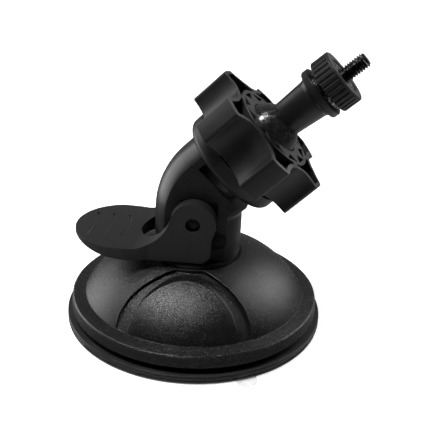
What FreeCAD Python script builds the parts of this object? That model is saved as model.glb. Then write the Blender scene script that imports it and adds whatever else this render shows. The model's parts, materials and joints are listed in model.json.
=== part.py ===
import FreeCAD, Part
import math
import os
import Sketcher
from FreeCAD import Placement, Rotation, Vector

# Suction mount that holds a small camera on a windscreen.  Millimetres, +Z up from the glass,
# origin at the centre of the sticking face.  The X-Z plane is the mirror plane: the neck and
# its ball joint lean to +X and the lever's paddle points to -X.

DIMENSIONS = [
    # Suction cup stack, from the glass upwards.
    ("cup_radius", 34.0),
    ("film_thick", 0.2),
    ("film_radius", 33.7),
    ("tab_width", 5.4),
    ("tab_reach", 36.8),
    ("tab_angle", -61.0),
    ("pad_thick", 1.0),
    ("cup_edge_thick", 1.2),
    ("hollow_radius", 25.0),
    ("hollow_rise", 2.2),
    ("cup_boss_radius", 12.0),
    ("cup_boss_top", 9.0),
    ("core_radius", 9.0),
    ("core_base", 5.4),
    ("core_thick", 1.6),
    ("post_radius", 4.5),
    ("post_top", 36.0),
    # Return spring around the post.
    ("spring_radius", 7.0),
    ("spring_wire", 0.6),
    ("spring_pitch", 1.8),
    ("spring_base", 9.7),
    ("spring_height", 6.0),
    # Dome housing.
    ("skirt_radius", 32.9),
    ("skirt_base", 4.1),
    ("skirt_top", 7.6),
    ("skirt_fall", 0.5),
    ("skirt_draft", 0.3),
    ("dome_radius", 29.1),
    ("dome_shoulder", 12.2),
    ("dome_shoulder_z", 19.3),
    ("dome_wall", 2.2),
    ("arch_wide", 16.8),
    ("arch_tall", 11.9),
    ("arch_side_band", 3.3),
    ("arch_top_band", 1.15),
    ("arch_depth", 0.9),
    ("seat_z", 18.6),
    # Neck.
    ("foot_radius", 11.4),
    ("foot_thick", 1.6),
    ("neck_half_width", 8.0),
    ("neck_radius", 11.2),
    ("neck_x", 0.4),
    ("bend_radius", 12.0),
    ("bore_radius", 4.6),
    ("column_radius", 7.6),
    ("cup_wall_radius", 10.4),
    # Lever and its pin.
    ("pin_x", 0.2),
    ("pin_z", 31.5),
    ("pin_radius", 1.8),
    ("pin_half_length", 10.9),
    ("ear_radius", 5.8),
    ("ear_half_width", 11.5),
    ("ear_gap", 8.3),
    ("lever_base", 21.0),
    ("paddle_half_width", 12.8),
    ("paddle_tip", -31.9),
    ("paddle_top", 24.4),
    ("anchor_x", 6.2),
    ("anchor_z", 26.0),
    ("anchor_radius", 2.3),
    ("anchor_shank", 1.4),
    # Knob axis: a line in the mirror plane through (0, knob_foot_z), leaning to +X.
    ("knob_foot_z", 35.8),
    ("knob_lean", 44.5),
    ("knob_turn", -17.0),
    ("knob_back", 15.4),
    ("knob_height", 10.9),
    ("knob_radius", 18.3),
    ("flute_radius", 7.4),
    ("flute_centre", 20.9),
    ("knob_wall", 1.15),
    ("hub_radius", 11.7),
    ("pocket_rib_angle", 8.0),
    ("lobe_corner", 0.9),
    ("funnel_inner", 8.7),
    ("funnel_outer", 10.9),
    ("funnel_window_angle", 25.0),
    ("ring_radius", 14.0),
    ("ring_back", 10.7),
    ("ring_height", 4.4),
    # Ball joint, on an axis of its own that starts at the ball's centre.
    ("ball_along", 23.9),
    ("ball_radius", 7.5),
    ("stud_lean", 47.3),
    ("stem_radius", 4.3),
    ("stem_flare", 5.05),
    ("collar_radius", 6.7),
    ("collar_base", 15.5),
    ("collar_top", 17.5),
    ("screw_radius", 2.0),
    ("screw_core", 1.7),
    ("screw_tip", 30.1),
    ("nut_base", 18.6),
    ("nut_height", 5.0),
    ("nut_radius", 7.05),
    ("insert_radius", 3.4),
    ("washer_radius", 5.6),
]

VALUES = dict(DIMENSIONS)
SHEET_NAME = "Dims"
KNOB_LOBES = 6
FUNNEL_WINDOWS = 12
NUT_GROOVES = 30
LEVER_GROOVES = 3
RUNNING_CLEARANCE = 0.05

doc = FreeCAD.newDocument("camera_mount")
FINISHED = []


class Size:
    """A length that knows its value and the sheet expression that gives it."""

    def __init__(self, value, text):
        self.value = float(value)
        self.text = text

    def combined(self, sign, other):
        other = as_size(other)
        value = self.value + other.value if sign == "+" else self.value - other.value
        return Size(value, "(%s %s %s)" % (self.text, sign, other.text))

    def __add__(self, other):
        return self.combined("+", other)

    def __sub__(self, other):
        return self.combined("-", other)

    def __mul__(self, factor):
        return Size(self.value * factor, "(%s * %.6g)" % (self.text, factor))

    def __neg__(self):
        return self * -1.0


def as_size(number):
    """Return a Size for a plain number, or the Size itself."""
    if isinstance(number, Size):
        return number
    return Size(number, "(%.6f)" % number)


def dim(name):
    """Return one driving dimension as a Size."""
    return Size(VALUES[name], "%s.%s" % (SHEET_NAME, name))


def make_sheet():
    """Put the driving dimensions in a spreadsheet, one alias to a row."""
    sheet = doc.addObject("Spreadsheet::Sheet", SHEET_NAME)
    for row, (name, value) in enumerate(DIMENSIONS, start=1):
        sheet.set("A%d" % row, name)
        sheet.set("B%d" % row, str(value))
        sheet.setAlias("B%d" % row, name)
    doc.recompute()


def bind(item, prop, size):
    """Set a property to a size and tie it to the sheet."""
    size = as_size(size)
    item.setExpression(prop, size.text)


def finish(item, node):
    """Name a finished sub-part after its node."""
    item.Label = node
    FINISHED.append(item)
    return item


# ---------------------------------------------------------------- placements

def lean_rotation(angle):
    return Rotation(Vector(0, 1, 0), angle)


def knob_point(along):
    """Return the point on the knob's axis at a distance from its foot."""
    lean = math.radians(VALUES["knob_lean"])
    foot = VALUES["knob_foot_z"]
    return Vector(along * math.sin(lean), 0, foot + along * math.cos(lean))


def knob_placement(along=0.0, turn=0.0):
    """Return a placement whose +Z runs along the knob's axis."""
    spin = Rotation(Vector(0, 0, 1), turn)
    return Placement(knob_point(along), lean_rotation(VALUES["knob_lean"]) * spin)


def stud_placement():
    """Return the placement of the pieces that stand on the ball, +Z along the stud."""
    return Placement(knob_point(VALUES["ball_along"]), lean_rotation(VALUES["stud_lean"]))


# ---------------------------------------------------------------- sketches and bodies

def origin_feature(body, role):
    for feature in body.Origin.OriginFeatures:
        if feature.Role == role:
            return feature
    raise ValueError("no origin feature " + role)


def add_sketch(body, name, role, lift=0.0):
    """Add a sketch on one of the body's own origin planes."""
    sketch = body.newObject("Sketcher::SketchObject", name)
    sketch.AttachmentSupport = [(origin_feature(body, role), "")]
    sketch.MapMode = "FlatFace"
    sketch.AttachmentOffset = Placement(Vector(0, 0, lift), Rotation())
    return sketch


def fix_point(sketch, edge, end, point):
    """Hold one end of an edge at a point given as a pair of sizes."""
    for kind, axis, size in (("DistanceX", -2, point[0]), ("DistanceY", -1, point[1])):
        size = as_size(size)
        if abs(size.value) < 1e-9:
            sketch.addConstraint(Sketcher.Constraint("PointOnObject", edge, end, axis))
            continue
        index = sketch.addConstraint(Sketcher.Constraint(kind, -1, 1, edge, end, size.value))
        sketch.setExpression("Constraints[%d]" % index, size.text)


def draw_outline(sketch, outline):
    """Draw a closed outline.

    Each item is a corner (x, y), or (x, y, mid_x, mid_y) for a corner reached along an arc
    that passes through the middle point.
    """
    flat = [tuple(as_size(value).value for value in item) for item in outline]
    edges = []
    for index, item in enumerate(flat):
        start = flat[index - 1]
        p_start = Vector(start[0], start[1], 0)
        p_end = Vector(item[0], item[1], 0)
        if len(item) == 4:
            curve = arc_through(p_start, Vector(item[2], item[3], 0), p_end)
        else:
            curve = Part.LineSegment(p_start, p_end)
        edges.append(sketch.addGeometry(curve, False))
    for index, item in enumerate(outline):
        edge = edges[index]
        following = edges[(index + 1) % len(edges)]
        p_end = Vector(flat[index][0], flat[index][1], 0)
        end = nearest_end(sketch, edge, p_end)
        start = nearest_end(sketch, following, p_end)
        sketch.addConstraint(Sketcher.Constraint("Coincident", edge, end, following, start))
        fix_point(sketch, edge, end, item[:2])
        if len(item) == 4:
            on_axis = min(abs(flat[index][0]), abs(flat[index - 1][0])) < 1e-9
            hold_arc(sketch, edge, on_axis)


def hold_arc(sketch, edge, on_axis):
    """Fix an arc between its ends: by its radius, or by its centre if it caps the turning axis."""
    if on_axis:
        sketch.addConstraint(Sketcher.Constraint("PointOnObject", edge, 3, -2))
        return
    radius = sketch.Geometry[edge].Radius
    sketch.addConstraint(Sketcher.Constraint("Radius", edge, radius))


def arc_through(start, middle, end):
    """Return a counter-clockwise arc, the only kind that a sketch numbers the ends of plainly."""
    if (middle - start).cross(end - start).z < 0:
        start, end = end, start
    return Part.Arc(start, middle, end)


def nearest_end(sketch, edge, point):
    """Return 1 or 2 for the end of an edge that lies at a point."""
    curve = sketch.Geometry[edge]
    if curve.StartPoint.distanceToPoint(point) < curve.EndPoint.distanceToPoint(point):
        return 1
    return 2


def draw_circle(sketch, x, y, radius):
    """Draw one circle with its centre and radius tied to the sheet."""
    x, y, radius = as_size(x), as_size(y), as_size(radius)
    edge = sketch.addGeometry(Part.Circle(Vector(x.value, y.value, 0), Vector(0, 0, 1), radius.value))
    fix_point(sketch, edge, 3, (x, y))
    index = sketch.addConstraint(Sketcher.Constraint("Radius", edge, radius.value))
    sketch.setExpression("Constraints[%d]" % index, radius.text)


def new_body(name):
    return doc.addObject("PartDesign::Body", name)


def add_revolution(body, outline, name="turned"):
    """Turn an outline in the body's X-Z plane once around its Z axis."""
    sketch = add_sketch(body, name + "_sketch", "XZ_Plane")
    draw_outline(sketch, outline)
    turned = body.newObject("PartDesign::Revolution", name)
    turned.Profile = sketch
    turned.ReferenceAxis = (sketch, ["V_Axis"])
    turned.Angle = 360
    body.Tip = turned
    return turned


def add_groove(body, outline, name):
    """Cut a turned hollow out of a body."""
    sketch = add_sketch(body, name + "_sketch", "XZ_Plane")
    draw_outline(sketch, outline)
    before = solid_volume(body)
    groove = body.newObject("PartDesign::Groove", name)
    groove.Profile = sketch
    groove.ReferenceAxis = (sketch, ["V_Axis"])
    groove.Angle = 360
    body.Tip = groove
    check_cut(body, before, name)
    return groove


def add_pad(body, draw, length, role="XY_Plane", name="pad", midplane=False, lift=0.0):
    """Extrude a sketch that draw() fills in."""
    sketch = add_sketch(body, name + "_sketch", role, lift)
    draw(sketch)
    pad = body.newObject("PartDesign::Pad", name)
    pad.Profile = sketch
    bind(pad, "Length", length)
    pad.Midplane = midplane
    body.Tip = pad
    return pad


def add_pocket(body, draw, length, name, role="XY_Plane", lift=0.0, reverse=False, midplane=False):
    """Cut a sketch that draw() fills in out of a body, and make sure that it cuts."""
    before = solid_volume(body)
    sketch = add_sketch(body, name + "_sketch", role, lift)
    draw(sketch)
    pocket = body.newObject("PartDesign::Pocket", name)
    pocket.Profile = sketch
    pocket.Type = 0
    bind(pocket, "Length", length)
    pocket.Reversed = reverse
    pocket.Midplane = midplane
    body.Tip = pocket
    check_cut(body, before, name)
    return pocket


def add_polar(body, feature, count, name):
    """Repeat a cut around the body's Z axis."""
    before = solid_volume(body)
    pattern = body.newObject("PartDesign::PolarPattern", name)
    pattern.Originals = [feature]
    pattern.Axis = (origin_feature(body, "Z_Axis"), [""])
    pattern.Angle = 360
    pattern.Occurrences = count
    body.Tip = pattern
    check_cut(body, before, name)
    return pattern


def solid_volume(item):
    doc.recompute()
    return item.Shape.Volume


def check_cut(item, before, name):
    if solid_volume(item) > before - 1e-3:
        raise RuntimeError("%s removes nothing" % name)


def turned_body(node, outline, placement=None):
    """Make a whole sub-part as one turned body."""
    body = new_body(node)
    if placement is not None:
        body.Placement = placement
    add_revolution(body, outline)
    return body


# ---------------------------------------------------------------- Part primitives and booleans

def cylinder(name, radius, height, placement):
    item = doc.addObject("Part::Cylinder", name)
    bind(item, "Radius", radius)
    bind(item, "Height", height)
    item.Placement = placement
    return item


def box(name, low, sizes, placement=None):
    """Make a box from its lowest corner and its three sizes, in a placement's own axes."""
    item = doc.addObject("Part::Box", name)
    for prop, size in zip(("Length", "Width", "Height"), sizes):
        bind(item, prop, size)
    local = Placement(Vector(*low), Rotation())
    item.Placement = local if placement is None else placement.multiply(local)
    return item


def cut(name, base, tool):
    item = doc.addObject("Part::Cut", name)
    item.Base = base
    item.Tool = tool
    before = solid_volume(base)
    check_cut(item, before, name)
    return item


def fuse(name, shapes):
    item = doc.addObject("Part::MultiFuse", name)
    item.Shapes = shapes
    item.Refine = True
    doc.recompute()
    return item


def common(name, base, tool):
    item = doc.addObject("Part::Common", name)
    item.Base = base
    item.Tool = tool
    doc.recompute()
    return item


def across(x, z, half_length):
    """Return a placement whose +Z runs along +Y, starting at -half_length."""
    return Placement(Vector(x, -half_length, z), Rotation(Vector(1, 0, 0), -90))


# ---------------------------------------------------------------- cup stack

def film_top():
    return dim("film_thick")


def pad_top():
    return dim("film_thick") + dim("pad_thick")


def cup_edge_top():
    return pad_top() + dim("cup_edge_thick")


def make_protective_film():
    """Clear film on the sticky face, with a pull tab that stands out of the cup's edge."""
    disc = cylinder("film_disc", dim("film_radius"), dim("film_thick"), Placement())
    turn = Placement(Vector(), Rotation(Vector(0, 0, 1), VALUES["tab_angle"]))
    half = VALUES["tab_width"] / 2
    start = VALUES["film_radius"] - 4.0
    sizes = (dim("tab_reach") - start - half, dim("tab_width"), dim("film_thick"))
    tab = box("film_tab", (start, -half, 0), sizes, turn)
    tip_centre = turn.multVec(Vector(VALUES["tab_reach"] - half, 0, 0))
    tip = cylinder("film_tab_tip", dim("tab_width") * 0.5, dim("film_thick"),
                   Placement(tip_centre, Rotation()))
    finish(fuse("protective_film", [disc, tab, tip]), "protective_film")


def hollow_arc(base):
    """Return the corners of the shallow vault that starts at the axis at a height above base."""
    crown = base + dim("hollow_rise")
    mid_x = VALUES["hollow_radius"] / 2
    mid_z = base.value + 0.75 * VALUES["hollow_rise"]
    return crown, mid_x, mid_z


def make_gel_pad():
    """Soft sticky disc: flat at the rim, lifted to a shallow vault over the middle."""
    low, mid_x, low_mid = hollow_arc(film_top())
    high, mid_x, high_mid = hollow_arc(pad_top())
    outline = [
        (0, low),
        (dim("hollow_radius"), film_top(), mid_x, low_mid),
        (dim("cup_radius"), film_top()),
        (dim("cup_radius"), pad_top()),
        (dim("hollow_radius"), pad_top()),
        (0, high, mid_x, high_mid),
    ]
    finish(turned_body("gel_pad", outline), "gel_pad")


def make_suction_cup():
    """Moulded cup: thin edge, rising back and a boss that is moulded around the core."""
    crown, mid_x, mid_z = hollow_arc(pad_top())
    bevel = 0.2
    gap = 0.02
    core_low = dim("core_base") - gap
    core_high = dim("core_base") + dim("core_thick") + gap
    outline = [
        (0, crown),
        (dim("hollow_radius"), pad_top(), mid_x, mid_z),
        (dim("cup_radius"), pad_top()),
        (dim("cup_radius"), cup_edge_top() - bevel),
        (dim("cup_radius") - bevel, cup_edge_top()),
        (dim("cup_radius") - 3.0, cup_edge_top()),
        (dim("cup_radius") - 3.6, cup_edge_top() + 0.5),
        (24.0, cup_edge_top() + 0.8),
        (dim("cup_boss_radius") + 1.2, cup_edge_top() + 2.3),
        (dim("cup_boss_radius"), cup_edge_top() + 4.0),
        (dim("cup_boss_radius"), dim("cup_boss_top") - 0.4),
        (dim("cup_boss_radius") - 0.4, dim("cup_boss_top")),
        (dim("post_radius") + gap, dim("cup_boss_top")),
        (dim("post_radius") + gap, core_high),
        (dim("core_radius") + gap, core_high),
        (dim("core_radius") + gap, core_low),
        (0, core_low),
    ]
    finish(turned_body("suction_cup", outline), "suction_cup")


def make_cup_core():
    """Stiff disc and post in the cup's middle; the lever's pin crosses the post's top."""
    core_high = dim("core_base") + dim("core_thick")
    outline = [
        (0, dim("core_base")),
        (dim("core_radius"), dim("core_base")),
        (dim("core_radius"), core_high),
        (dim("post_radius"), core_high),
        (dim("post_radius"), dim("post_top") - 0.8),
        (dim("post_radius") - 0.8, dim("post_top")),
        (0, dim("post_top")),
    ]
    turned = turned_body("core_turned", outline)
    half = VALUES["post_radius"] + 2.0
    hole = cylinder("core_hole", dim("pin_radius") + 0.02, 2 * half,
                    across(VALUES["pin_x"], VALUES["pin_z"], half))
    finish(cut("cup_core", turned, hole), "cup_core")


def make_return_spring():
    """Coil spring between the cup's boss and the foot of the neck."""
    body = new_body("return_spring")
    wire = add_sketch(body, "spring_wire_section", "XZ_Plane")
    draw_circle(wire, dim("spring_radius"), dim("spring_base"), dim("spring_wire"))
    coil = body.newObject("PartDesign::AdditiveHelix", "coil")
    coil.Profile = wire
    coil.ReferenceAxis = (wire, ["V_Axis"])
    coil.Mode = "pitch-height-angle"
    bind(coil, "Pitch", dim("spring_pitch"))
    bind(coil, "Height", dim("spring_height"))
    coil.Angle = 0
    body.Tip = coil
    finish(body, "return_spring")


# ---------------------------------------------------------------- dome housing

def dome_arc_mid(offset):
    """Return the middle point of the dome's arc, moved inwards by an offset."""
    return 21.95 - offset * 0.57, 15.35 - offset * 0.82


def make_dome_housing():
    """Domed shell with a flat flange and one sunk arch band on the front and on the back."""
    wall = VALUES["dome_wall"]
    mid_x, mid_z = dome_arc_mid(0.0)
    in_x, in_z = dome_arc_mid(wall)
    bead = cup_edge_top() + 0.7
    lip = 0.35
    outline = [
        (dim("foot_radius") + 0.1, dim("seat_z")),
        (dim("foot_radius") + 0.1, dim("seat_z") + 0.4),
        (dim("dome_shoulder"), dim("dome_shoulder_z")),
        (dim("dome_radius"), dim("skirt_top"), mid_x, mid_z),
        (dim("skirt_radius") - dim("skirt_draft") - lip, dim("skirt_top") - dim("skirt_fall")),
        (dim("skirt_radius") - dim("skirt_draft"), dim("skirt_top") - dim("skirt_fall") - lip),
        (dim("skirt_radius"), dim("skirt_base")),
        (dim("skirt_radius") - 2.0, dim("skirt_base")),
        (dim("skirt_radius") - 2.4, dim("skirt_base") + 1.0),
        (30.2, dim("skirt_base") + 1.0),
        (30.2, bead),
        (28.6, bead),
        (28.4, dim("skirt_base") + 0.6),
        (26.8, dim("skirt_top") - 1.4),
        (11.6, 17.2, in_x, in_z),
        (9.0, 17.2),
        (9.0, dim("seat_z")),
    ]
    shell = turned_body("dome_shell", outline)
    band = make_arch_band(mid_x, mid_z)
    finish(cut("dome_housing", shell, band), "dome_housing")


def make_arch_band(mid_x, mid_z):
    """Return the skin that is sunk between an outer and an inner arch."""
    depth = VALUES["arch_depth"]
    deep_x, deep_z = dome_arc_mid(depth)
    over = 1.5
    skin_outline = [
        (dim("dome_shoulder") + 0.1, dim("dome_shoulder_z") - depth),
        (dim("dome_radius") - 0.2, dim("skirt_top") + 0.05, deep_x, deep_z),
        (dim("dome_radius") + over, dim("skirt_top") + 0.05),
        (dim("dome_radius") + over, dim("dome_shoulder_z") + over),
        (dim("dome_shoulder") + 0.1, dim("dome_shoulder_z") + over),
    ]
    skin = turned_body("dome_skin", skin_outline)
    outer = arch_prism("arch_outer", dim("arch_wide"), dim("arch_tall"))
    inner = arch_prism("arch_inner", dim("arch_wide") - dim("arch_side_band"),
                       dim("arch_tall") - dim("arch_top_band"))
    frame = cut("arch_frame", outer, inner)
    return common("arch_band_tool", skin, frame)


def arch_prism(name, half_width, height):
    """Return an elliptic cylinder along Y, centred at the height of the flange."""
    ellipse = doc.addObject("Part::Ellipse", name + "_ellipse")
    bind(ellipse, "MajorRadius", half_width)
    bind(ellipse, "MinorRadius", height)
    reach = 40.0
    ellipse.Placement = Placement(Vector(0, reach, VALUES["skirt_top"]), Rotation(Vector(1, 0, 0), 90))
    prism = doc.addObject("Part::Extrusion", name)
    prism.Base = ellipse
    prism.DirMode = "Custom"
    prism.Dir = Vector(0, -1, 0)
    prism.LengthFwd = 2 * reach
    prism.Solid = True
    doc.recompute()
    return prism


# ---------------------------------------------------------------- neck

def bend_start():
    """Return the height at which the neck's vertical stretch turns towards the knob's axis."""
    lean = math.radians(VALUES["knob_lean"])
    corner = VALUES["knob_foot_z"] + VALUES["neck_x"] / math.tan(lean)
    return corner - VALUES["bend_radius"] * math.tan(lean / 2)


def make_neck_pipe():
    """Return the bent round bar: an upright stretch, a bend and a leaning stretch."""
    foot_top = VALUES["seat_z"] + VALUES["foot_thick"] - 0.5
    start = bend_start()
    upright = cylinder("neck_upright", dim("neck_radius"), start - foot_top,
                       Placement(Vector(VALUES["neck_x"], 0, foot_top), Rotation()))
    bend = doc.addObject("Part::Torus", "neck_bend")
    bind(bend, "Radius1", dim("bend_radius"))
    bind(bend, "Radius2", dim("neck_radius"))
    bind(bend, "Angle3", dim("knob_lean"))
    turn = Rotation(Vector(-1, 0, 0), Vector(0, 0, 1), Vector(0, 1, 0))
    bend.Placement = Placement(Vector(VALUES["neck_x"] + VALUES["bend_radius"], 0, start), turn)
    lean = math.radians(VALUES["knob_lean"])
    along = VALUES["neck_x"] / math.sin(lean) + VALUES["bend_radius"] * math.tan(lean / 2)
    leaning = cylinder("neck_leaning", dim("neck_radius"), 7.2 - along, knob_placement(along))
    return fuse("neck_pipe", [upright, bend, leaning])


def make_neck():
    """Bent round neck with flat sides; on top a column and the round cup of the ball joint."""
    pipe = make_neck_pipe()
    half = VALUES["neck_half_width"]
    slab = box("neck_slab", (-30, -half, 0), (60, dim("neck_half_width") * 2, 80))
    flat_sided = common("neck_flat_sided", pipe, slab)
    parts = [flat_sided, make_spine(), make_foot(), make_column()]
    solid = fuse("neck_solid", parts)
    tool = fuse("neck_hollows", neck_hollows())
    finish(cut("neck", solid, tool), "neck")


def make_spine():
    """Return the back of the neck, which runs on up to the clamp ring."""
    high = VALUES["ring_back"] - 0.4
    roof = cylinder("spine_round", dim("neck_radius"), high - 5.0, knob_placement(5.0))
    half = VALUES["neck_half_width"]
    keep = box("spine_box", (-20, -half, 5.0), (14, dim("neck_half_width") * 2, high - 5.0),
               knob_placement())
    return common("spine", roof, keep)


def make_foot():
    """Return the round foot in the dome's seat and the spigot below it."""
    seat = VALUES["seat_z"]
    outline = [
        (0, 16.4),
        (8.9, 16.4),
        (8.9, dim("seat_z")),
        (dim("foot_radius"), dim("seat_z")),
        (dim("foot_radius"), dim("seat_z") + 1.2),
        (dim("foot_radius") - 0.4, dim("seat_z") + dim("foot_thick")),
        (0, seat + VALUES["foot_thick"]),
    ]
    return turned_body("neck_foot", outline)


def make_column():
    """Return the column and cup that stand inside the clamp ring and the knob."""
    outline = [
        (0, 4.0),
        (dim("column_radius"), 4.0),
        (dim("column_radius"), 13.8),
        (dim("cup_wall_radius"), 13.8),
        (dim("cup_wall_radius"), 21.6),
        (dim("cup_wall_radius") - 0.5, 22.1),
        (8.7, 22.1),
        (8.7, 15.6),
        (0, 15.6),
    ]
    return turned_body("neck_column", outline, knob_placement())


def neck_hollows():
    """Return the cutters: the post's bore, the pin's slot, the anchor pin's hole and recesses."""
    half = VALUES["neck_half_width"]
    bore = cylinder("neck_bore", dim("bore_radius"), 21.4, Placement(Vector(0, 0, 16.0), Rotation()))
    wide = VALUES["pin_radius"] + 0.15
    slot = box("pin_slot", (VALUES["pin_x"] - wide, -half - 1, 27.6), (2 * wide, 2 * half + 2, 6.2))
    anchor = cylinder("anchor_hole", dim("anchor_shank") + 0.02, 2 * half + 2,
                      across(VALUES["anchor_x"], VALUES["anchor_z"], half + 1))
    tools = [bore, slot, anchor]
    for side in (-1, 1):
        depth = 1.4
        low_y = -half - 1 if side < 0 else half - depth
        recess = box("side_recess_%d" % (side + 2), (-3.6, low_y, 28.5), (9.6, depth + 1, 8.2))
        head_y = -half - 1 if side < 0 else half - 1.2
        head = cylinder("anchor_seat_%d" % (side + 2), dim("anchor_radius") + 0.05, 2.2,
                        Placement(Vector(VALUES["anchor_x"], head_y, VALUES["anchor_z"]),
                                  Rotation(Vector(1, 0, 0), -90)))
        tools += [recess, head]
    return tools


def make_anchor_pin():
    """Cross pin with two domed heads that ties the neck down, in front of the post."""
    half = VALUES["neck_half_width"]
    place = Placement(Vector(VALUES["anchor_x"], 0, VALUES["anchor_z"]), Rotation(Vector(1, 0, 0), -90))
    inner = half - 1.2
    outer = half + 0.2
    outline = [
        (0, -outer),
        (dim("anchor_radius"), -(outer - 0.5), 1.25, -(outer - 0.12)),
        (dim("anchor_radius"), -inner),
        (dim("anchor_shank"), -inner),
        (dim("anchor_shank"), inner),
        (dim("anchor_radius"), inner),
        (dim("anchor_radius"), outer - 0.5),
        (0, outer, 1.25, outer - 0.12),
    ]
    finish(turned_body("anchor_pin", outline, place), "anchor_pin")


def make_ball_seat():
    """Seat ring under the ball: a short cylinder with a spherical hollow."""
    place = knob_placement()
    blank = cylinder("seat_blank", 8.6, 5.6, knob_placement(15.65))
    hollow = doc.addObject("Part::Sphere", "seat_hollow")
    bind(hollow, "Radius", dim("ball_radius") + 0.03)
    hollow.Placement = Placement(knob_point(VALUES["ball_along"]), place.Rotation)
    finish(cut("ball_seat", blank, hollow), "ball_seat")


# ---------------------------------------------------------------- lever

def make_lever_pin():
    """Pin through both ears of the lever and the post, with domed ends."""
    half = VALUES["pin_half_length"]
    dome = 0.6
    place = Placement(Vector(VALUES["pin_x"], 0, VALUES["pin_z"]), Rotation(Vector(1, 0, 0), -90))
    outline = [
        (0, -half),
        (dim("pin_radius"), -(half - dome), 1.05, -(half - 0.15)),
        (dim("pin_radius"), half - dome),
        (0, half, 1.05, half - 0.15),
    ]
    finish(turned_body("lever_pin", outline, place), "lever_pin")


def lever_side(sketch):
    """Draw the lever's side view, x along the sketch's x and z along its y."""
    x, z, radius = dim("pin_x"), dim("pin_z"), dim("ear_radius")
    top = dim("paddle_top")
    base = dim("lever_base")
    tip = dim("paddle_tip")
    left_angle, right_angle = math.radians(173), math.radians(-11)
    left = (x + radius * math.cos(left_angle), z + radius * math.sin(left_angle))
    right = (x + radius * math.cos(right_angle), z + radius * math.sin(right_angle))
    outline = [
        left,
        right + (x.value, z.value + radius.value),
        (5.0, 27.6),
        (4.9, base + 3.6),
        (2.4, base, 4.25, base.value + 1.25),
        (-18.0, base),
        (tip + 1.4, top - 0.9, -25.2, base.value + 1.25),
        (tip, top, tip.value + 0.35, top.value - 0.6),
        (-14.4, top - 0.2),
        left + (-8.4, 27.2),
    ]
    draw_outline(sketch, outline[1:])


def lever_plan(sketch):
    """Draw the lever's outline from above."""
    ear = dim("ear_half_width")
    wide = dim("paddle_half_width")
    front = 8.0
    bend = (-14.2, wide.value - 0.45)
    outline = [
        (front, -ear),
        (front, ear),
        (-11.0, ear),
        (-17.0, wide) + bend,
        (-21.6, wide),
        (-21.6, -wide, VALUES["paddle_tip"], 0.0),
        (-17.0, -wide),
        (-11.0, -ear, bend[0], -bend[1]),
    ]
    draw_outline(sketch, outline)


def lever_gap(sketch):
    """Draw the U-shaped gap between the ears."""
    gap = dim("ear_gap")
    arc_start = -6.8
    apex = -14.4
    outline = [
        (10.0, -gap),
        (10.0, gap),
        (arc_start, gap),
        (arc_start, -gap, apex, 0.0),
    ]
    draw_outline(sketch, outline)


def make_lever():
    """Locking lever: two eared cheeks around the neck and a paddle with three finger grooves."""
    side = new_body("lever_side_body")
    add_pad(side, lever_side, 2 * VALUES["paddle_half_width"] + 2.0, "XZ_Plane", "cheeks", True)
    plan = new_body("lever_plan_body")
    add_pad(plan, lever_plan, 25.0, "XY_Plane", "outline", False, 18.0)
    add_pocket(plan, lever_gap, 30.0, "gap", "XY_Plane", 16.0, True)
    shape = common("lever_blank", side, plan)
    tools = [cylinder("lever_hole", dim("pin_radius") + RUNNING_CLEARANCE, 30.0,
                      across(VALUES["pin_x"], VALUES["pin_z"], 15.0))]
    bow_radius = 26.0
    for index in range(LEVER_GROOVES):
        groove = doc.addObject("Part::Torus", "grip_groove_%d" % index)
        groove.Radius1 = bow_radius
        groove.Radius2 = 0.42
        groove.Angle3 = 29.0
        centre = Vector(-26.7 + 4.3 * index - bow_radius, 0, VALUES["paddle_top"] + 0.02)
        groove.Placement = Placement(centre, Rotation(Vector(0, 0, 1), -14.5))
        tools.append(groove)
    finish(cut("lever", shape, fuse("lever_tools", tools)), "lever")


# ---------------------------------------------------------------- clamp ring and knob

def make_clamp_ring():
    """Cup-shaped ring that follows the knob along its axis without turning."""
    back = dim("ring_back")
    top = back + dim("ring_height")
    edge = dim("ring_radius")
    web_top = back + 0.95
    bore = dim("column_radius") + 0.1
    wall_in = dim("cup_wall_radius") + 0.2
    outline = [
        (bore, back),
        (edge - 1.9, back),
        (edge, back + 1.5, edge.value - 0.55, back.value + 0.45),
        (edge, top),
        (wall_in, top),
        (wall_in, web_top),
        (bore, web_top),
    ]
    finish(turned_body("clamp_ring", outline, knob_placement()), "clamp_ring")


def flute_circle(sketch):
    """Draw one finger flute, halfway between two lobes."""
    angle = math.radians(180.0 / KNOB_LOBES)
    centre = dim("flute_centre")
    draw_circle(sketch, centre * math.cos(angle), centre * math.sin(angle), dim("flute_radius"))


def circle_crossing(radius_a, centre_b, radius_b):
    """Return the angle off the line of centres at which circle A meets circle B."""
    cosine = (radius_a ** 2 + centre_b ** 2 - radius_b ** 2) / (2 * radius_a * centre_b)
    return math.acos(cosine)


def near_side(angle, centre, radius):
    """Return how far out a ray at this angle off the line of centres first meets a circle."""
    return centre * math.cos(angle) - math.sqrt(radius ** 2 - (centre * math.sin(angle)) ** 2)


def polar(radius, angle):
    return radius * math.cos(angle), radius * math.sin(angle)


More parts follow.
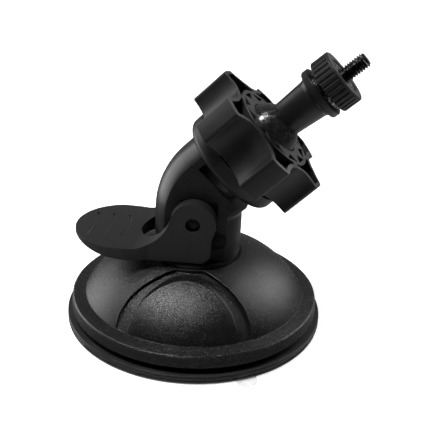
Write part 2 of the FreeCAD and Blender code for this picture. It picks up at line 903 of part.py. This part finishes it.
def lobe_pocket(sketch):
    """Draw the open pocket inside one lobe, one wall's thickness in from its outside."""
    hub = VALUES["hub_radius"]
    outer = VALUES["knob_radius"] - VALUES["knob_wall"]
    grown = VALUES["flute_radius"] + VALUES["knob_wall"]
    centre = VALUES["flute_centre"]
    step = math.radians(180.0 / KNOB_LOBES)
    rib_half = math.radians(VALUES["pocket_rib_angle"] / 2)
    at_rib = step - rib_half
    at_rim = step - circle_crossing(outer, centre, grown)
    shoulder = near_side(rib_half, centre, grown)
    middle = (shoulder + outer) / 2
    at_middle = step - circle_crossing(middle, centre, grown)
    inner_size = dim("hub_radius")
    outer_size = dim("knob_radius") - dim("knob_wall")
    outline = [
        (inner_size * math.cos(at_rib), inner_size * math.sin(at_rib), hub, 0.0),
        polar(shoulder, at_rib),
        (outer_size * math.cos(at_rim), outer_size * math.sin(at_rim)) + polar(middle, at_middle),
        (outer_size * math.cos(at_rim), outer_size * -math.sin(at_rim), outer, 0.0),
        polar(shoulder, -at_rib) + polar(middle, -at_middle),
        (inner_size * math.cos(at_rib), inner_size * -math.sin(at_rib)),
    ]
    draw_outline(sketch, outline)


def funnel_window(sketch):
    """Draw one of the triangular pockets that leave a zigzag rib round the ball."""
    base = VALUES["funnel_outer"]
    half = math.radians(VALUES["funnel_window_angle"] / 2)
    outline = [
        polar(base, -half),
        polar(base, half),
        (dim("funnel_inner"), 0),
    ]
    draw_outline(sketch, outline)


def round_lobes(body, radius):
    """Round the long outer corners of the lobes."""
    doc.recompute()
    turned = body.Tip.Shape.copy()
    turned.Placement = Placement()
    names = []
    for number, edge in enumerate(turned.Edges, 1):
        low, high = edge.Vertexes[0].Point, edge.Vertexes[-1].Point
        upright = math.hypot(low.x - high.x, low.y - high.y) < 1e-4
        at_rim = abs(math.hypot(low.x, low.y) - VALUES["knob_radius"]) < 1e-3
        if upright and at_rim and abs(low.z - high.z) > 1.0:
            names.append("Edge%d" % number)
    if len(names) != 2 * KNOB_LOBES:
        raise RuntimeError("the lobes have %d long corners" % len(names))
    base = body.Tip
    corners = body.newObject("PartDesign::Fillet", "lobe_corners")
    corners.Base = (base, names)
    bind(corners, "Radius", radius)
    body.Tip = corners
    doc.recompute()


def make_clamp_knob():
    """Six-lobed clamp knob: fluted sides, hollow lobes, a funnel and a lip around the ball."""
    body = new_body("clamp_knob")
    body.Placement = knob_placement(VALUES["knob_back"], VALUES["knob_turn"])
    height = dim("knob_height")
    add_pad(body, lambda sketch: draw_circle(sketch, 0, 0, dim("knob_radius")), height, name="blank")
    flute = add_pocket(body, flute_circle, 14.0, "flute", lift=-1.0, reverse=True)
    add_polar(body, flute, KNOB_LOBES, "flutes")
    round_lobes(body, dim("lobe_corner"))
    pocket = add_pocket(body, lobe_pocket, 9.0, "lobe_pocket", lift=3.0, reverse=True)
    add_polar(body, pocket, KNOB_LOBES, "lobe_pockets")
    wall_in = dim("cup_wall_radius") + 0.1
    lip_z = VALUES["knob_height"] + 0.1
    neck_room = 22.5 - VALUES["knob_back"]
    throat = VALUES["ball_radius"] + 0.22
    bore_outline = [
        (0, -1.0),
        (wall_in, -1.0),
        (wall_in, neck_room),
        (throat + 0.38, neck_room),
        (throat, neck_room + 1.2),
        (throat, neck_room + 2.1),
        (throat - 0.42, lip_z),
        (0, lip_z),
    ]
    add_groove(body, bore_outline, "bore")
    window_floor = VALUES["knob_height"] - 2.5
    window = add_pocket(body, funnel_window, 4.0, "funnel_window", lift=window_floor, reverse=True)
    add_polar(body, window, FUNNEL_WINDOWS, "funnel_windows")
    crown_outline = [
        (13.4, lip_z),
        (dim("knob_radius") + 0.5, VALUES["knob_height"] - 0.65),
        (dim("knob_radius") + 0.5, lip_z),
    ]
    add_groove(body, crown_outline, "crown")
    finish(body, "clamp_knob")


# ---------------------------------------------------------------- ball, stem, screw and nut

def make_ball():
    """Ball of the joint."""
    ball = doc.addObject("Part::Sphere", "ball")
    bind(ball, "Radius", dim("ball_radius"))
    ball.Placement = stud_placement()
    finish(ball, "ball")


def make_stem():
    """Flared stem with a collar; its root is a hollow that fits the ball."""
    head = 9.0
    outline = [
        (0, 3.0),
        (dim("stem_radius") - 0.05, 3.0),
        (dim("stem_flare"), dim("collar_base") - 1.2),
        (dim("stem_flare") + 0.5, dim("collar_base"), dim("stem_flare").value + 0.1, 14.5),
        (dim("collar_radius") - 0.3, dim("collar_base")),
        (dim("collar_radius"), dim("collar_base") + 0.3),
        (dim("collar_radius"), dim("collar_top") - 0.3),
        (dim("collar_radius") - 0.3, dim("collar_top")),
        (dim("screw_radius"), dim("collar_top")),
        (dim("screw_radius"), head + 2.55),
        (3.05, head + 2.55),
        (3.05, head - 0.05),
        (0, head - 0.05),
    ]
    turned = turned_body("stem_turned", outline, stud_placement())
    hollow = doc.addObject("Part::Sphere", "stem_hollow")
    bind(hollow, "Radius", dim("ball_radius") + RUNNING_CLEARANCE)
    hollow.Placement = stud_placement()
    finish(cut("stem", turned, hollow), "stem")


def make_camera_screw():
    """Stud: a head inside the stem, a core that the nut's thread runs on, then the free thread."""
    head = 9.0
    free_start = dim("nut_base") + dim("nut_height") + 0.4
    chamfer = 0.4
    outline = [
        (0, head),
        (3.0, head),
        (3.0, head + 2.5),
        (dim("screw_core"), head + 2.5),
        (dim("screw_core"), free_start),
        (dim("screw_radius"), free_start),
        (dim("screw_radius"), dim("screw_tip") - chamfer),
        (dim("screw_radius") - chamfer, dim("screw_tip")),
        (0, dim("screw_tip")),
    ]
    finish(turned_body("camera_screw", outline, stud_placement()), "camera_screw")


def make_camera_washer():
    """Thin washer between the stem's collar and the lock nut."""
    low = VALUES["collar_top"] + 0.1
    outline = [
        (dim("screw_radius") + RUNNING_CLEARANCE, low),
        (dim("washer_radius"), low),
        (dim("washer_radius"), low + 0.8),
        (dim("screw_radius") + RUNNING_CLEARANCE, low + 0.8),
    ]
    finish(turned_body("camera_washer", outline, stud_placement()), "camera_washer")


def make_lock_nut():
    """Thumb nut: straight grooves all round and a plain rim at its front."""
    body = new_body("lock_nut")
    body.Placement = stud_placement()
    base = dim("nut_base")
    top = base + dim("nut_height")
    bevel = 0.3
    outline = [
        (dim("insert_radius") + 0.01, base),
        (dim("nut_radius") - bevel, base),
        (dim("nut_radius"), base + bevel),
        (dim("nut_radius"), top - bevel),
        (dim("nut_radius") - bevel, top),
        (dim("insert_radius") + 1.3, top),
        (dim("insert_radius") + 1.0, top - 0.35),
        (dim("insert_radius") + 0.01, top - 0.35),
    ]
    add_revolution(body, outline)
    groove = add_pocket(body, lambda sketch: draw_circle(sketch, dim("nut_radius") + 0.08, 0, 0.42),
                        dim("nut_height") - 0.3, "nut_groove", lift=VALUES["nut_base"] - 0.3, reverse=True)
    add_polar(body, groove, NUT_GROOVES, "nut_grooves")
    finish(body, "lock_nut")


def make_nut_insert():
    """Threaded metal insert in the lock nut."""
    base = dim("nut_base") + 0.2
    top = dim("nut_base") + dim("nut_height") - 0.25
    outline = [
        (dim("screw_radius") + 0.03, base),
        (dim("insert_radius"), base),
        (dim("insert_radius"), top),
        (dim("screw_radius") + 0.4, top),
        (dim("screw_radius") + 0.03, top - 0.37),
    ]
    finish(turned_body("nut_insert", outline, stud_placement()), "nut_insert")


# ---------------------------------------------------------------- checks and files

def check_document():
    """Stop if any object failed, or if a sub-part has no valid solid."""
    doc.recompute()
    for item in doc.Objects:
        if "Invalid" in item.State or "Error" in item.State:
            raise RuntimeError("%s failed: %s" % (item.Name, item.State))
    for item in FINISHED:
        if item.Shape.isNull() or not item.Shape.isValid():
            raise RuntimeError("%s has no valid shape" % item.Label)
        if len(item.Shape.Solids) != 1:
            raise RuntimeError("%s has %d solids" % (item.Label, len(item.Shape.Solids)))


def write_parts():
    os.makedirs("parts", exist_ok=True)
    for item in FINISHED:
        item.Shape.exportStep("parts/%s.step" % item.Label)
        bounds = item.Shape.BoundBox
        print("%-16s %9.1f mm3   x %6.2f..%6.2f  y %6.2f..%6.2f  z %6.2f..%6.2f" % (
            item.Label, item.Shape.Volume, bounds.XMin, bounds.XMax,
            bounds.YMin, bounds.YMax, bounds.ZMin, bounds.ZMax))


def main():
    make_sheet()
    makers = [
        make_protective_film, make_gel_pad, make_suction_cup, make_cup_core, make_return_spring,
        make_dome_housing, make_neck, make_anchor_pin, make_ball_seat,
        make_lever_pin, make_lever,
        make_clamp_ring, make_clamp_knob,
        make_ball, make_stem, make_camera_screw, make_camera_washer, make_lock_nut, make_nut_insert,
    ]
    for make in makers:
        make()
    check_document()
    write_parts()


main()
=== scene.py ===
import json
import math

import bpy
from mathutils import Matrix, Vector


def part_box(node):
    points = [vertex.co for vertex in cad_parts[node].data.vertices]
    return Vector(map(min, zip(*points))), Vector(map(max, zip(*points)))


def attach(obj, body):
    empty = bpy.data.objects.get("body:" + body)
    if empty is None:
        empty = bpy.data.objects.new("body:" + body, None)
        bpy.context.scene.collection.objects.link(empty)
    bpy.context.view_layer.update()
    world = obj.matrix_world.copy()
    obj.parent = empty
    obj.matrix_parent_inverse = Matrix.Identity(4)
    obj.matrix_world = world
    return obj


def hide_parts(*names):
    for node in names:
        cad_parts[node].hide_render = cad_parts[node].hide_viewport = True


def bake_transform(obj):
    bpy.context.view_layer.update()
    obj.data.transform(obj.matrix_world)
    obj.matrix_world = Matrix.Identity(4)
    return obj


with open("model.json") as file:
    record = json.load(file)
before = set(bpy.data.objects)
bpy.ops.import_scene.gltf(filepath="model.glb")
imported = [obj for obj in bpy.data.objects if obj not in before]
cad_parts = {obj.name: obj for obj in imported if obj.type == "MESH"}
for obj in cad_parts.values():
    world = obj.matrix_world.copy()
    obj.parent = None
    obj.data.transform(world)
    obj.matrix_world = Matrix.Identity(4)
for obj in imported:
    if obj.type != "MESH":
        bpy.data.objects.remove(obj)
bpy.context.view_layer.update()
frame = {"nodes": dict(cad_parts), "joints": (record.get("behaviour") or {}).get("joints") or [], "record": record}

MM = 0.001
HOLLOW_RADIUS = 25.0
HOLLOW_RISE = 2.2
ROUND_STEPS = 180
STAGE_RADIUS = 4800.0
STAGE_STEPS = 96
record = frame["record"]
joints = {j["name"]: j for j in frame["joints"]}
mounts = {m["name"]: m for m in record["mounts"]}
stud_origin = Vector(joints["screw_twist"]["pos_m"])
stud_axis = Vector(joints["screw_twist"]["axis"]).normalized()


# ---------------------------------------------------------------- camera

def make_camera():
    """Portrait lens that looks down on the mount from in front of its lever."""
    camera = bpy.data.objects.new("camera", bpy.data.cameras.new("camera"))
    right = Vector((0.9949, 0.0912, 0.0439))
    up = Vector((-0.0796, 0.4363, 0.8963))
    back = right.cross(up).normalized()
    up = back.cross(right).normalized()
    turn = Matrix((right, up, back)).transposed().to_4x4()
    camera.matrix_world = Matrix.Translation((0.02129, -0.20258, 0.12691)) @ turn
    camera.data.lens = 69.74
    camera.data.sensor_width = 36.0
    camera.data.clip_start = 0.01
    camera.data.clip_end = 20.0
    bpy.context.scene.collection.objects.link(camera)
    bpy.context.scene.camera = camera


# ---------------------------------------------------------------- materials

class Look:
    """A Principled material under construction, with short calls for the nodes it needs."""

    def __init__(self, name):
        self.material = bpy.data.materials.new(name)
        self.material.use_nodes = True
        self.tree = self.material.node_tree
        self.surface = next(n for n in self.tree.nodes if n.type == "BSDF_PRINCIPLED")
        self.place = self.node("ShaderNodeTexCoord").outputs["Object"]
        self.normal = None

    def node(self, kind, **inputs):
        made = self.tree.nodes.new(kind)
        for key, value in inputs.items():
            made.inputs[key.replace("_", " ")].default_value = value
        return made

    def link(self, output, target):
        self.tree.links.new(output, target)

    def feed(self, made, key, value):
        if isinstance(value, bpy.types.NodeSocket):
            self.link(value, made.inputs[key])
        else:
            made.inputs[key].default_value = value

    def maths(self, operation, a, b=0.0):
        made = self.node("ShaderNodeMath")
        made.operation = operation
        self.feed(made, 0, a)
        self.feed(made, 1, b)
        return made.outputs[0]

    def dot(self, a, b):
        made = self.node("ShaderNodeVectorMath")
        made.operation = "DOT_PRODUCT"
        self.feed(made, 0, a)
        self.feed(made, 1, b)
        return made.outputs["Value"]

    def offset_from(self, point):
        made = self.node("ShaderNodeVectorMath")
        made.operation = "SUBTRACT"
        self.link(self.place, made.inputs[0])
        made.inputs[1].default_value = point
        return made.outputs["Vector"]

    def noise(self, grain, detail=2.0, rough=0.5):
        """Even noise whose features are about `grain` millimetres across."""
        made = self.node("ShaderNodeTexNoise", Scale=1.0 / (grain * MM), Detail=detail, Roughness=rough)
        self.link(self.place, made.inputs["Vector"])
        return made.outputs[0]

    def cells(self, grain):
        """Rounded pits about `grain` millimetres across."""
        made = self.node("ShaderNodeTexVoronoi", Scale=1.0 / (grain * MM))
        made.feature = "SMOOTH_F1"
        self.link(self.place, made.inputs["Vector"])
        return made.outputs["Distance"]

    def span(self, value, low, high, to_low, to_high):
        """Map value from low..high to to_low..to_high, held at the ends."""
        made = self.node("ShaderNodeMapRange")
        self.link(value, made.inputs["Value"])
        for key, number in zip(("From Min", "From Max", "To Min", "To Max"), (low, high, to_low, to_high)):
            made.inputs[key].default_value = number
        return made.outputs["Result"]

    def edges(self, radius):
        """Round every sharp edge by `radius` millimetres and return a mask that is 1 on the edges."""
        made = self.node("ShaderNodeBevel", Radius=radius * MM)
        made.samples = 6
        self.normal = made.outputs["Normal"]
        flat = self.node("ShaderNodeNewGeometry").outputs["Normal"]
        return self.span(self.dot(self.normal, flat), 0.9, 0.998, 1.0, 0.0)

    def relief(self, height, depth):
        """Add bumps `depth` millimetres deep on top of the relief so far."""
        made = self.node("ShaderNodeBump", Strength=1.0, Distance=depth * MM)
        self.link(height, made.inputs["Height"])
        if self.normal is not None:
            self.link(self.normal, made.inputs["Normal"])
        self.normal = made.outputs["Normal"]

    def colour(self, dark, light, mask):
        """Blend two colours over the mask."""
        made = self.node("ShaderNodeMix")
        made.data_type = "RGBA"
        self.link(mask, made.inputs["Factor"])
        sockets = [s for s in made.inputs if s.type == "RGBA"]
        sockets[0].default_value = (*dark, 1.0)
        sockets[1].default_value = (*light, 1.0)
        colours = [s for s in made.outputs if s.type == "RGBA"]
        self.link(colours[0], self.surface.inputs["Base Color"])

    def done(self, rough=None, **inputs):
        if self.normal is not None:
            self.link(self.normal, self.surface.inputs["Normal"])
        if rough is not None:
            self.link(rough, self.surface.inputs["Roughness"])
        for key, value in inputs.items():
            self.surface.inputs[key.replace("_", " ")].default_value = value
        return self.material


def grey(level, blue=1.04):
    return (level, level, level * blue)


def moulded(name, level, rough, spread, grain, depth, edge=0.12, worn=0.03):
    """Black injection-moulded plastic: even grain, faint flow clouds, edges a little worn."""
    look = Look(name)
    edge_mask = look.edges(edge)
    cloud = look.noise(9.0, 3.0)
    fine = look.noise(grain, 2.0, 0.55)
    look.relief(look.noise(5.0, 1.0), 0.012)
    look.relief(fine, depth)
    wear = look.maths("MULTIPLY", edge_mask, look.span(look.noise(0.7, 2.0), 0.42, 0.6, 0.15, 1.0))
    look.colour(grey(level), grey(worn), wear)
    base = look.span(cloud, 0.3, 0.7, rough - spread, rough + spread)
    look.done(rough=look.maths("ADD", base, look.span(fine, 0.3, 0.7, -0.03, 0.03)), Specular_IOR_Level=0.5)
    return look


def housing_plastic():
    """Spark-eroded dome: coarse glittering grain over a satin skin."""
    look = Look("housing_plastic")
    edge_mask = look.edges(0.16)
    grit = look.noise(0.32, 3.0, 0.65)
    pits = look.cells(0.34)
    cloud = look.noise(11.0, 2.0)
    look.relief(pits, 0.03)
    look.relief(grit, 0.12)
    wear = look.maths("MULTIPLY", edge_mask, look.span(look.noise(0.45, 2.0), 0.45, 0.62, 0.0, 1.0))
    look.colour(grey(0.008), grey(0.035), wear)
    rough = look.span(grit, 0.35, 0.65, 0.16, 0.28)
    return look.done(rough=look.maths("ADD", rough, look.span(cloud, 0.3, 0.7, -0.03, 0.03)))


def neck_plastic():
    """Satin neck and stem, with the mould's parting line along the mirror plane."""
    look = moulded("neck_plastic", 0.008, 0.30, 0.04, 0.22, 0.006)
    side = look.maths("ABSOLUTE", look.dot(look.place, (0.0, 1.0, 0.0)))
    look.relief(look.span(side, 0.03 * MM, 0.14 * MM, 1.0, 0.0), 0.05)
    return look.done()


def lever_plastic():
    return moulded("lever_plastic", 0.015, 0.44, 0.04, 0.16, 0.008, edge=0.07, worn=0.05).material


def knob_plastic():
    """Satin knob and nut with a fine grain."""
    return moulded("knob_plastic", 0.007, 0.42, 0.05, 0.2, 0.010, edge=0.16, worn=0.06).material


def core_plastic():
    return moulded("core_plastic", 0.03, 0.5, 0.05, 0.3, 0.01).material


def ball_plastic():
    """Glossy ball, finely lined around the stud's axis and smeared with clear grease."""
    look = Look("ball_plastic")
    along = look.dot(look.offset_from(stud_origin), stud_axis)
    bend = look.noise(2.4, 2.0)
    phase = look.maths("MULTIPLY", along, 2 * math.pi / (0.42 * MM))
    wave = look.maths("SINE", look.maths("ADD", phase, look.maths("MULTIPLY", bend, 5.0)))
    grease = look.noise(1.3, 3.0, 0.6)
    look.relief(wave, 0.02)
    look.relief(grease, 0.16)
    look.colour(grey(0.009), grey(0.02), look.span(grease, 0.4, 0.65, 0.0, 1.0))
    rough = look.span(look.noise(0.8, 3.0), 0.35, 0.65, 0.1, 0.32)
    return look.done(rough=rough, Specular_IOR_Level=0.7, Coat_Weight=0.4, Coat_Roughness=0.16)


def cup_rubber():
    """Soft black cup: silky, with faint rub marks that run round it."""
    look = Look("cup_rubber")
    edge_mask = look.edges(0.12)
    height = look.dot(look.place, (0.0, 0.0, 1.0))
    rub = look.maths("SINE", look.maths("MULTIPLY", height, 2 * math.pi / (0.3 * MM)))
    dust = look.noise(0.5, 3.0, 0.6)
    look.relief(rub, 0.004)
    look.relief(look.noise(0.35, 2.0), 0.012)
    wear = look.maths("MULTIPLY", edge_mask, look.span(dust, 0.4, 0.6, 0.3, 1.0))
    look.colour(grey(0.012), grey(0.05), wear)
    return look.done(rough=look.span(look.noise(6.0, 3.0), 0.3, 0.7, 0.38, 0.52))


def gel():
    """Sticky gel: dark, glossy and slightly uneven."""
    look = Look("gel")
    look.relief(look.noise(1.6, 2.0), 0.05)
    look.colour(grey(0.02), grey(0.035), look.span(look.noise(4.0, 3.0), 0.35, 0.65, 0.0, 1.0))
    return look.done(rough=look.span(look.noise(2.0, 2.0), 0.3, 0.7, 0.12, 0.24), Coat_Weight=0.4)


def film():
    """Clear peel-off film with slight ripples."""
    look = Look("film")
    look.relief(look.noise(2.2, 2.0), 0.05)
    look.colour((0.72, 0.73, 0.74), (0.86, 0.87, 0.88), look.span(look.noise(3.0, 2.0), 0.35, 0.65, 0.0, 1.0))
    look.material.surface_render_method = "BLENDED"
    return look.done(rough=look.span(look.noise(1.5, 2.0), 0.3, 0.7, 0.08, 0.2), Alpha=0.5)


def pin_metal():
    """Blackened steel pin with a turned face."""
    look = Look("pin_metal")
    edge_mask = look.edges(0.14)
    swirl = look.noise(0.25, 3.0)
    look.relief(swirl, 0.01)
    wear = look.maths("MULTIPLY", edge_mask, look.span(swirl, 0.4, 0.6, 0.2, 1.0))
    look.colour(grey(0.02), grey(0.12), wear)
    return look.done(rough=look.span(look.noise(0.9, 3.0), 0.3, 0.7, 0.26, 0.44), Metallic=0.7)


def screw_metal():
    """Black-oxide thread: bare steel shows where the crests are rubbed."""
    look = Look("screw_metal")
    edge_mask = look.edges(0.05)
    arm = look.offset_from(stud_origin)
    along = look.dot(arm, stud_axis)
    total = look.dot(arm, arm)
    across = look.maths("SUBTRACT", total, look.maths("MULTIPLY", along, along))
    radius = look.maths("SQRT", look.maths("MAXIMUM", across, 0.0))
    crest = look.span(radius, 1.86 * MM, 1.98 * MM, 0.0, 1.0)
    patch = look.span(look.noise(0.5, 3.0, 0.6), 0.5, 0.64, 0.0, 1.0)
    bare = look.maths("MULTIPLY", look.maths("MAXIMUM", crest, edge_mask), patch)
    look.relief(look.noise(0.12, 2.0), 0.006)
    look.colour(grey(0.035), (0.62, 0.61, 0.6), bare)
    return look.done(rough=look.span(look.noise(0.4, 2.0), 0.3, 0.7, 0.2, 0.36), Metallic=1.0)


def spring_steel():
    look = Look("spring_steel")
    look.relief(look.noise(0.1, 2.0), 0.004)
    look.colour((0.34, 0.34, 0.35), (0.52, 0.52, 0.53), look.span(look.noise(1.2, 3.0), 0.35, 0.65, 0.0, 1.0))
    return look.done(rough=look.span(look.noise(0.5, 2.0), 0.3, 0.7, 0.2, 0.34), Metallic=1.0)


def make_looks():
    """One material for each of the record's slots."""
    makers = (housing_plastic, neck_plastic, lever_plastic, knob_plastic, ball_plastic, core_plastic,
              cup_rubber, gel, film, pin_metal, screw_metal, spring_steel)
    return {maker.__name__: maker() for maker in makers}


def dress_nodes(looks):
    """Give each CAD node the material of its slot."""
    for part in record["subparts"]:
        node = frame["nodes"][part["node"]]
        if not node.material_slots:
            node.data.materials.append(None)
        for entry in node.material_slots:
            entry.material = looks[part["material_slot"]]


# ---------------------------------------------------------------- pieces

def ring_mesh(name, rows, place):
    """Skin rows of points into a closed tube; a row of one point closes an end."""
    points, faces = [], []
    before = None
    for row in rows:
        now = list(range(len(points), len(points) + len(row)))
        points += [place @ Vector(p) for p in row]
        if before is not None:
            count = max(len(before), len(now))
            for i in range(count):
                j = (i + 1) % count
                a, b = before[i % len(before)], before[j % len(before)]
                c, d = now[j % len(now)], now[i % len(now)]
                faces.append([v for k, v in enumerate((a, b, c, d)) if v not in (a, b, c, d)[:k]])
        before = now
    mesh = bpy.data.meshes.new(name)
    mesh.from_pydata(points, [], faces)
    mesh.update()
    for polygon in mesh.polygons:
        polygon.use_smooth = True
    piece = bpy.data.objects.new(name, mesh)
    bpy.context.scene.collection.objects.link(piece)
    return piece


def circle_row(radius, height, count):
    if radius < 1e-9:
        return [(0.0, 0.0, height * MM)]
    turns = [2 * math.pi * i / count for i in range(count)]
    return [(radius * MM * math.cos(t), radius * MM * math.sin(t), height * MM) for t in turns]


def finish_piece(piece, material, sharp_angle):
    piece.data.materials.append(material)
    piece.data.set_sharp_from_angle(angle=math.radians(sharp_angle))
    return piece


def vault(rise, reach, edge_height, steps=10):
    """Rows of (radius, height) from the crown of a shallow vault out to its foot."""
    rows = [(reach * i / steps, edge_height + rise * (1 - (i / steps) ** 2)) for i in range(steps)]
    return rows + [(reach, edge_height)]


def make_cup(looks):
    """Suction cup with a beaded lip, made as one piece whose rim and boss both stay put."""
    low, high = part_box("suction_cup")
    edge, bottom, top = high.x / MM, low.z / MM, high.z / MM
    lip = bottom + 1.2
    shape = vault(HOLLOW_RISE, HOLLOW_RADIUS, bottom)
    shape += [(edge - 0.25, bottom), (edge - 0.07, bottom + 0.05), (edge, bottom + 0.2)]
    shape += [(edge, lip - 0.55), (edge - 0.12, lip - 0.45), (edge - 0.12, lip - 0.38), (edge - 0.02, lip - 0.3)]
    shape += [(edge - 0.02, lip - 0.14), (edge - 0.1, lip - 0.04), (edge - 0.3, lip), (edge - 3.0, lip)]
    shape += [(edge - 3.35, lip + 0.12), (edge - 3.6, lip + 0.5), (edge - 6.0, lip + 0.62), (24.0, lip + 0.8)]
    shape += [(18.5, lip + 1.4), (13.6, lip + 2.2), (12.4, lip + 2.9), (12.0, lip + 4.0)]
    shape += [(12.0, top - 0.4), (11.9, top - 0.12), (11.6, top), (4.6, top), (4.52, top - 0.1)]
    shape += [(4.52, 7.02), (9.02, 7.02), (9.02, 5.38), (0.0, 5.38)]
    rows = [circle_row(r, z, ROUND_STEPS) for r, z in shape]
    cup = ring_mesh("suction_cup_moulding", rows, Matrix.Identity(4))
    finish_piece(cup, looks["cup_rubber"], 40)
    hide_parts("suction_cup")
    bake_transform(cup)


def make_gel(looks):
    """Gel disc with a rounded, slightly slumped edge."""
    low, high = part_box("gel_pad")
    edge, bottom = high.x / MM, low.z / MM
    top = bottom + 1.0
    under = vault(HOLLOW_RISE, HOLLOW_RADIUS, bottom)
    over = list(reversed(vault(HOLLOW_RISE, HOLLOW_RADIUS, top)))
    rim = [(edge - 0.3, bottom), (edge - 0.06, bottom + 0.12), (edge, bottom + 0.4)]
    rim += [(edge - 0.03, top - 0.3), (edge - 0.12, top - 0.1), (edge - 0.35, top)]
    rows = [circle_row(r, z, ROUND_STEPS) for r, z in under + rim + over]
    pad = ring_mesh("gel_disc", rows, Matrix.Identity(4))
    finish_piece(pad, looks["gel"], 40)
    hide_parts("gel_pad")
    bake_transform(pad)


def thread_row(centre, count, pitch, crest, root, limit):
    """One row of the thread, which climbs by one pitch in each turn round the stud."""
    row = []
    for i in range(count):
        turn = i / count
        phase = (centre / pitch - turn) % 1.0
        slope = min(max((abs(phase - 0.5) * 2 - 0.14) / 0.62, 0.0), 1.0)
        radius = min(crest - (crest - root) * slope, limit)
        angle = 2 * math.pi * turn
        row.append((radius * MM * math.cos(angle), radius * MM * math.sin(angle), centre * MM))
    return row


def make_screw(looks):
    """Stud with a real helical thread; its head sits inside the stem."""
    mount = mounts["camera_thread"]
    crest = mount["dims"]["r_mm"]
    tip = (Vector(mount["pos_m"]) - stud_origin).length / MM + mount["dims"]["length_mm"] / 2 + 0.4
    pitch = 0.7
    root = crest - 0.43
    head, thread_start, count, per_turn = 9.0, 17.4, 72, 14
    head_shape = [(0, head), (2.8, head), (3.0, head + 0.2), (3.0, head + 2.3), (2.8, head + 2.5)]
    head_shape += [(root, head + 2.5), (root, thread_start)]
    rows = [circle_row(r, t, count) for r, t in head_shape]
    steps = int((tip - thread_start) / pitch * per_turn)
    for k in range(1, steps + 1):
        along = thread_start + (tip - thread_start) * k / steps
        limit = min(crest, root - 0.12 + (tip - along) * 1.1, root + (along - thread_start) * 1.2)
        rows.append(thread_row(along, count, pitch, crest, root, limit))
    rows += [circle_row(r, tip - d, count) for r, d in ((1.25, 0.0), (1.0, 0.06), (0, 0.06))]
    place = Matrix.Translation(stud_origin) @ stud_axis.to_track_quat("Z", "Y").to_matrix().to_4x4()
    screw = ring_mesh("threaded_stud", rows, place)
    finish_piece(screw, looks["screw_metal"], 28)
    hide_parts("camera_screw")
    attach(screw, "screw")


# ---------------------------------------------------------------- studio

def aim(item, target):
    item.rotation_mode = "QUATERNION"
    item.rotation_quaternion = (Vector(target) - item.location).to_track_quat("-Z", "Y")


def soft_light(name, direction, distance, wide, tall, power):
    data = bpy.data.lights.new(name, "AREA")
    data.shape = "RECTANGLE"
    data.size, data.size_y, data.energy = wide, tall, power
    light = bpy.data.objects.new(name, data)
    light.location = Vector((0.0, 0.0, 0.035)) + Vector(direction).normalized() * distance
    aim(light, (0.0, 0.0, 0.035))
    bpy.context.scene.collection.objects.link(light)


def make_lights():
    soft_light("left_softbox", (-0.92, 0.38, 0.12), 0.55, 0.40, 0.45, 1.5)
    soft_light("right_softbox", (0.70, 0.50, 0.50), 0.55, 0.30, 0.34, 1.6)
    soft_light("overhead_softbox", (-0.32, -0.15, 0.92), 0.60, 0.13, 0.13, 3.4)


def make_world():
    """Dim studio round the object: bright below, grey behind, dark on the camera's side."""
    world = bpy.data.worlds.new("studio")
    bpy.context.scene.world = world
    world.use_nodes = True
    tree = world.node_tree
    background = next(n for n in tree.nodes if n.type == "BACKGROUND")
    coords = tree.nodes.new("ShaderNodeTexCoord")
    split = tree.nodes.new("ShaderNodeSeparateXYZ")
    tree.links.new(coords.outputs["Generated"], split.inputs[0])
    below = tree.nodes.new("ShaderNodeMapRange")
    behind = tree.nodes.new("ShaderNodeMapRange")
    total = tree.nodes.new("ShaderNodeMath")
    total.operation = "ADD"
    tree.links.new(split.outputs["Z"], below.inputs["Value"])
    tree.links.new(split.outputs["Y"], behind.inputs["Value"])
    for made, numbers in ((below, (-0.3, -0.95, 0.0, 0.55)), (behind, (0.0, 1.0, 0.008, 0.16))):
        made.interpolation_type = "SMOOTHSTEP"
        for key, number in zip(("From Min", "From Max", "To Min", "To Max"), numbers):
            made.inputs[key].default_value = number
    tree.links.new(below.outputs["Result"], total.inputs[0])
    tree.links.new(behind.outputs["Result"], total.inputs[1])
    tree.links.new(total.outputs[0], background.inputs["Strength"])
    background.inputs["Color"].default_value = (1.0, 1.0, 1.0, 1.0)


def stage_look(name, glow):
    look = Look(name)
    look.colour((0.86, 0.86, 0.86), (0.9, 0.9, 0.9), look.noise(40.0, 2.0))
    look.surface.inputs["Emission Color"].default_value = (1.0, 1.0, 1.0, 1.0)
    return look.done(Roughness=0.8, Specular_IOR_Level=0.2, Emission_Strength=glow)


def make_stage():
    """Pale floor and a pale surround behind it; neither shows in the object's gloss."""
    floor_rows = [circle_row(r, -0.05, STAGE_STEPS) for r in (0.0, 300.0, 1000.0, STAGE_RADIUS)]
    floor = ring_mesh("floor", floor_rows, Matrix.Identity(4))
    floor.data.materials.append(stage_look("floor_paper", 0.72))
    floor.visible_glossy = False
    dome_rows = []
    for degrees in range(0, 90, 6):
        angle = math.radians(degrees)
        height = STAGE_RADIUS * math.sin(angle) - 1.0
        dome_rows.append(circle_row(STAGE_RADIUS * math.cos(angle), height, STAGE_STEPS))
    dome_rows.append(circle_row(0.0, STAGE_RADIUS - 1.0, STAGE_STEPS))
    surround = ring_mesh("surround", dome_rows, Matrix.Identity(4))
    surround.data.materials.append(stage_look("surround_paper", 0.95))
    surround.visible_glossy = False
    surround.visible_diffuse = False
    surround.visible_shadow = False


make_camera()
looks = make_looks()
dress_nodes(looks)
make_cup(looks)
make_gel(looks)
make_screw(looks)
make_lights()
make_world()
make_stage()
bpy.context.scene.view_settings.view_transform = "Standard"
